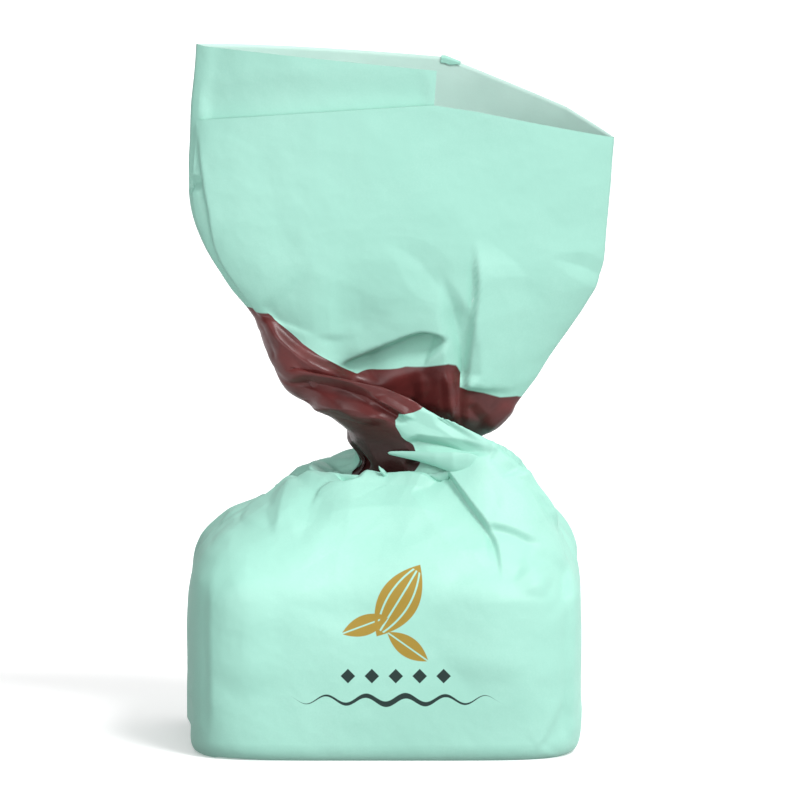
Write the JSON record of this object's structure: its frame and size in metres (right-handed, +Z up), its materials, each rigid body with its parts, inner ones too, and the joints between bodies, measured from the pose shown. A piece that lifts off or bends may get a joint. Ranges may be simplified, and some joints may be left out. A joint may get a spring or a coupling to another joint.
{
  "type": "wrapped chocolate truffle",
  "caption": "Chocolate truffle in a pale green paper wrapper: a boxy body on a flat base, a twisted neck with a dark brown printed band, and an open flattened paper fan on top.",
  "frame": {"origin": "middle of the flat base under the body", "axes": "+Z up through the neck to the fan's mouth, -Y towards the printed front, +X to the right in the picture"},
  "size_m": [0.0325, 0.028, 0.0531],
  "materials": {
    "wrapper": "semi-gloss printed paper"
  },
  "bodies": {
    "root": {"wrapped_truffle": "wrapper"}
  },
  "joints": []
}
